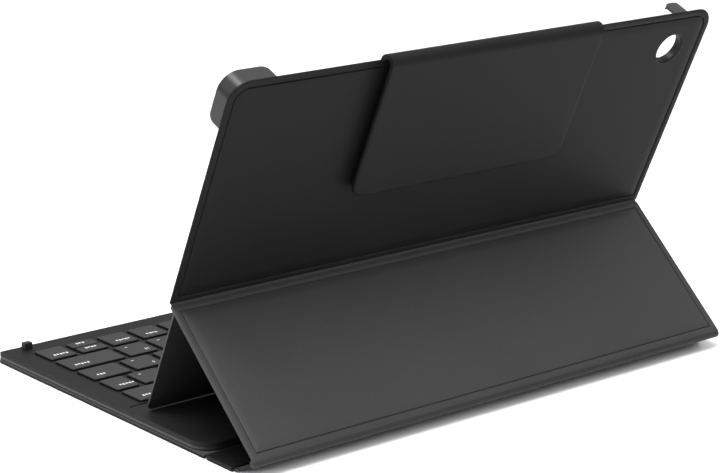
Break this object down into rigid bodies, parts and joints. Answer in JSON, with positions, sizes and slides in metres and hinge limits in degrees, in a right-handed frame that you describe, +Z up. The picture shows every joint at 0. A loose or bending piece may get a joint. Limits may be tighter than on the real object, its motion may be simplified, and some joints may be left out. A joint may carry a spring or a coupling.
{
  "type": "tablet keyboard case",
  "caption": "Folding case that stands a tablet up in a clipped tray over a flat full keyboard, with a back stand panel, a camera window and a closing flap.",
  "frame": {"origin": "middle of the footprint at table level", "axes": "+Z up, +Y towards the hinge side at the back, +X to the right of someone typing; the tray stands open and the flap is folded onto its back"},
  "size_m": [0.257, 0.1864, 0.1522],
  "materials": {
    "skin": "matte soft-touch, fine grain",
    "lining": "microfibre",
    "hinge": "matte",
    "board": "plain fibre board",
    "deck": "fine matte",
    "key": "fine matte",
    "tray": "satin",
    "clip": "satin",
    "rubber": "matte",
    "steel": "bare",
    "film": "clear film",
    "white": "plain",
    "circuit": "coated",
    "cell": "foil",
    "magnet": "plated",
    "gloss": "glossy"
  },
  "bodies": {
    "base": {"base_skin": "skin", "base_lining": "lining", "module_tray": "tray", "deck_frame": "deck", "support_plate": "steel", "switch_membrane": "film", "rubber_domes": "white", "scissor_supports": "white", "controller_board": "circuit", "battery_cells": "cell", "charge_port": "steel", "rest_magnets": "magnet", "front_bumpers": "rubber", "spine_hinge": "hinge"},
    "spine": {"spine_skin": "skin", "spine_board": "board", "strip_hinge": "hinge"},
    "strip": {"rear_strip": "hinge"},
    "stand": {"stand_skin": "skin", "stand_board": "board", "stand_lining": "lining"},
    "cover": {"fold_hinge": "hinge", "cover_skin": "skin", "cover_board": "board", "cover_lining": "lining", "tray_plate": "tray", "tray_lining": "lining", "tray_magnets": "magnet", "corner_clip_left": "clip", "corner_clip_right": "clip", "lower_clip_left": "clip", "lower_clip_right": "clip", "camera_ring": "gloss"},
    "flap": {"flap_hinge": "hinge", "flap_skin": "skin", "flap_board": "board", "flap_lining": "lining", "flap_magnets": "magnet"},
    "key_function_cap": {"key_function": "key"},
    "key_control_cap": {"key_control": "key"},
    "key_meta_left_cap": {"key_meta_left": "key"},
    "key_alt_left_cap": {"key_alt_left": "key"},
    "key_space_cap": {"key_space": "key"},
    "key_meta_right_cap": {"key_meta_right": "key"},
    "key_alt_right_cap": {"key_alt_right": "key"},
    "key_left_cap": {"key_left": "key"},
    "key_down_cap": {"key_down": "key"},
    "key_up_cap": {"key_up": "key"},
    "key_right_cap": {"key_right": "key"},
    "key_shift_left_cap": {"key_shift_left": "key"},
    "keys_bottom_letters_cap": {"keys_bottom_letters": "key"},
    "key_shift_right_cap": {"key_shift_right": "key"},
    "key_caps_lock_cap": {"key_caps_lock": "key"},
    "keys_home_letters_cap": {"keys_home_letters": "key"},
    "key_enter_cap": {"key_enter": "key"},
    "key_tab_cap": {"key_tab": "key"},
    "keys_top_letters_cap": {"keys_top_letters": "key"},
    "key_backslash_cap": {"key_backslash": "key"},
    "keys_numbers_cap": {"keys_numbers": "key"},
    "key_backspace_cap": {"key_backspace": "key"}
  },
  "joints": [
    {"name": "spine_fold", "type": "hinge", "parent": "base", "child": "spine", "pos_m": [0, 0.06237, 0.0007], "axis": [1, 0, 0], "range_deg": [-90, 0]},
    {"name": "strip_fold", "type": "hinge", "parent": "spine", "child": "strip", "pos_m": [0, 0.08062, 0.0007], "axis": [1, 0, 0], "range_deg": [-21.82, 0]},
    {"name": "stand_fold", "type": "hinge", "parent": "strip", "child": "stand", "pos_m": [0, 0.09144, 0.00615], "axis": [1, 0, 0], "range_deg": [-115.38, 0]},
    {"name": "cover_fold", "type": "hinge", "parent": "stand", "child": "cover", "pos_m": [0, 0.03918, 0.05613], "axis": [1, 0, 0], "range_deg": [0, 71.77]},
    {"name": "flap_fold", "type": "hinge", "parent": "cover", "child": "flap", "pos_m": [0, 0.08414, 0.14834], "axis": [1, 0, 0], "range_deg": [0, 180], "deforming": ["flap_hinge"]},
    {"name": "key_function_press", "type": "slide", "parent": "base", "child": "key_function_cap", "axis": [0, 0, -1], "range_m": [0, 0.001], "stiffness_N_per_m": 500, "springref_m": -0.001},
    {"name": "key_control_press", "type": "slide", "parent": "base", "child": "key_control_cap", "axis": [0, 0, -1], "range_m": [0, 0.001], "stiffness_N_per_m": 500, "springref_m": -0.001},
    {"name": "key_meta_left_press", "type": "slide", "parent": "base", "child": "key_meta_left_cap", "axis": [0, 0, -1], "range_m": [0, 0.001], "stiffness_N_per_m": 500, "springref_m": -0.001},
    {"name": "key_alt_left_press", "type": "slide", "parent": "base", "child": "key_alt_left_cap", "axis": [0, 0, -1], "range_m": [0, 0.001], "stiffness_N_per_m": 500, "springref_m": -0.001},
    {"name": "key_space_press", "type": "slide", "parent": "base", "child": "key_space_cap", "axis": [0, 0, -1], "range_m": [0, 0.001], "stiffness_N_per_m": 500, "springref_m": -0.001},
    {"name": "key_meta_right_press", "type": "slide", "parent": "base", "child": "key_meta_right_cap", "axis": [0, 0, -1], "range_m": [0, 0.001], "stiffness_N_per_m": 500, "springref_m": -0.001},
    {"name": "key_alt_right_press", "type": "slide", "parent": "base", "child": "key_alt_right_cap", "axis": [0, 0, -1], "range_m": [0, 0.001], "stiffness_N_per_m": 500, "springref_m": -0.001},
    {"name": "key_left_press", "type": "slide", "parent": "base", "child": "key_left_cap", "axis": [0, 0, -1], "range_m": [0, 0.001], "stiffness_N_per_m": 500, "springref_m": -0.001},
    {"name": "key_down_press", "type": "slide", "parent": "base", "child": "key_down_cap", "axis": [0, 0, -1], "range_m": [0, 0.001], "stiffness_N_per_m": 500, "springref_m": -0.001},
    {"name": "key_up_press", "type": "slide", "parent": "base", "child": "key_up_cap", "axis": [0, 0, -1], "range_m": [0, 0.001], "stiffness_N_per_m": 500, "springref_m": -0.001},
    {"name": "key_right_press", "type": "slide", "parent": "base", "child": "key_right_cap", "axis": [0, 0, -1], "range_m": [0, 0.001], "stiffness_N_per_m": 500, "springref_m": -0.001},
    {"name": "key_shift_left_press", "type": "slide", "parent": "base", "child": "key_shift_left_cap", "axis": [0, 0, -1], "range_m": [0, 0.001], "stiffness_N_per_m": 500, "springref_m": -0.001},
    {"name": "keys_bottom_letters_press", "type": "slide", "parent": "base", "child": "keys_bottom_letters_cap", "axis": [0, 0, -1], "range_m": [0, 0.001], "stiffness_N_per_m": 500, "springref_m": -0.001},
    {"name": "key_shift_right_press", "type": "slide", "parent": "base", "child": "key_shift_right_cap", "axis": [0, 0, -1], "range_m": [0, 0.001], "stiffness_N_per_m": 500, "springref_m": -0.001},
    {"name": "key_caps_lock_press", "type": "slide", "parent": "base", "child": "key_caps_lock_cap", "axis": [0, 0, -1], "range_m": [0, 0.001], "stiffness_N_per_m": 500, "springref_m": -0.001},
    {"name": "keys_home_letters_press", "type": "slide", "parent": "base", "child": "keys_home_letters_cap", "axis": [0, 0, -1], "range_m": [0, 0.001], "stiffness_N_per_m": 500, "springref_m": -0.001},
    {"name": "key_enter_press", "type": "slide", "parent": "base", "child": "key_enter_cap", "axis": [0, 0, -1], "range_m": [0, 0.001], "stiffness_N_per_m": 500, "springref_m": -0.001},
    {"name": "key_tab_press", "type": "slide", "parent": "base", "child": "key_tab_cap", "axis": [0, 0, -1], "range_m": [0, 0.001], "stiffness_N_per_m": 500, "springref_m": -0.001},
    {"name": "keys_top_letters_press", "type": "slide", "parent": "base", "child": "keys_top_letters_cap", "axis": [0, 0, -1], "range_m": [0, 0.001], "stiffness_N_per_m": 500, "springref_m": -0.001},
    {"name": "key_backslash_press", "type": "slide", "parent": "base", "child": "key_backslash_cap", "axis": [0, 0, -1], "range_m": [0, 0.001], "stiffness_N_per_m": 500, "springref_m": -0.001},
    {"name": "keys_numbers_press", "type": "slide", "parent": "base", "child": "keys_numbers_cap", "axis": [0, 0, -1], "range_m": [0, 0.001], "stiffness_N_per_m": 500, "springref_m": -0.001},
    {"name": "key_backspace_press", "type": "slide", "parent": "base", "child": "key_backspace_cap", "axis": [0, 0, -1], "range_m": [0, 0.001], "stiffness_N_per_m": 500, "springref_m": -0.001}
  ],
  "couplings": [
    {"joint": "stand_fold", "follows": "strip_fold", "ratio": 5.2827},
    {"joint": "cover_fold", "follows": "strip_fold", "ratio": -3.2843}
  ]
}
